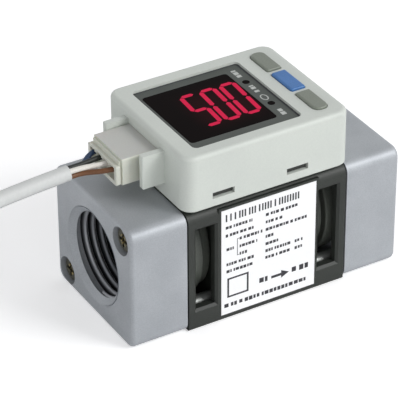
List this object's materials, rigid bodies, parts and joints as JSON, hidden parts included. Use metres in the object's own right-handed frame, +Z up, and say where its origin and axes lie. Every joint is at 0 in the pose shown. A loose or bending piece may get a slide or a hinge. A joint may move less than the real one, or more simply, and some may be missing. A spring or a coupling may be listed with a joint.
{
  "type": "digital flow switch",
  "caption": "In-line digital flow switch for air: threaded aluminium port blocks on a moulded sensor body, with a display head, keys and a cable with a plug.",
  "frame": {"origin": "bottom centre of the body and its two port blocks", "axes": "+X along the flow from inlet to outlet, +Z up to the display, -Y towards the labelled front"},
  "size_m": [0.1484, 0.0442, 0.0419],
  "materials": {
    "block_metal": "matt cast and machined",
    "body_resin": "fine moulded texture, dark grey-green",
    "tube_resin": "satin, grey",
    "head_resin": "satin, warm light grey",
    "seal_rubber": "matt black",
    "bolt_steel": "zinc plated, dull bronze tone",
    "screen_steel": "bright",
    "label_film": "white film",
    "board_laminate": "green",
    "chip_resin": "black",
    "panel_resin": "satin grey",
    "window_resin": "smoked, glossy",
    "lamp_resin": "tinted",
    "key_grey": "satin grey-green",
    "key_blue": "satin blue",
    "switch_resin": "black",
    "plug_resin": "cream",
    "contact_brass": "tinned",
    "sheath_pvc": "soft light grey",
    "lead_blue_pvc": "blue",
    "lead_black_pvc": "black",
    "lead_white_pvc": "white",
    "lead_brown_pvc": "brown",
    "tie_nylon": "natural nylon"
  },
  "bodies": {
    "housing": {"inlet_block": "block_metal", "outlet_block": "block_metal", "inlet_tie_bolts": "bolt_steel", "outlet_tie_bolts": "bolt_steel", "body_frame": "body_resin", "name_label": "label_film", "inlet_collar": "tube_resin", "flow_tube": "tube_resin", "flow_screens": "screen_steel", "spacer_rings": "tube_resin", "inlet_o_ring": "seal_rubber", "outlet_o_ring": "seal_rubber", "socket_o_ring": "seal_rubber", "sensor_gasket": "seal_rubber", "flow_chip": "chip_resin", "sensor_board": "board_laminate", "board_link": "switch_resin", "head_gasket": "seal_rubber", "head_base": "head_resin", "head_screws": "bolt_steel", "head_case": "head_resin", "display_panel": "panel_resin", "display_window": "window_resin", "digit_module": "lamp_resin", "output_leds": "lamp_resin", "main_board": "board_laminate", "tact_switches": "switch_resin", "pin_header": "plug_resin", "header_pins": "contact_brass", "plug_housing": "plug_resin", "plug_contacts": "contact_brass", "lead_blue": "lead_blue_pvc", "lead_black": "lead_black_pvc", "lead_white": "lead_white_pvc", "lead_brown": "lead_brown_pvc", "cord_sheath": "sheath_pvc", "cord_coil": "sheath_pvc", "coil_tie": "tie_nylon"},
    "up_key_cap": {"up_key": "key_grey"},
    "set_key_cap": {"set_key": "key_blue"},
    "down_key_cap": {"down_key": "key_grey"}
  },
  "joints": [
    {"name": "up_key_press", "type": "slide", "parent": "housing", "child": "up_key_cap", "axis": [0, 0, -1], "range_m": [0, 0.0003], "stiffness_N_per_m": 2000},
    {"name": "set_key_press", "type": "slide", "parent": "housing", "child": "set_key_cap", "axis": [0, 0, -1], "range_m": [0, 0.0003], "stiffness_N_per_m": 2000},
    {"name": "down_key_press", "type": "slide", "parent": "housing", "child": "down_key_cap", "axis": [0, 0, -1], "range_m": [0, 0.0003], "stiffness_N_per_m": 2000}
  ]
}
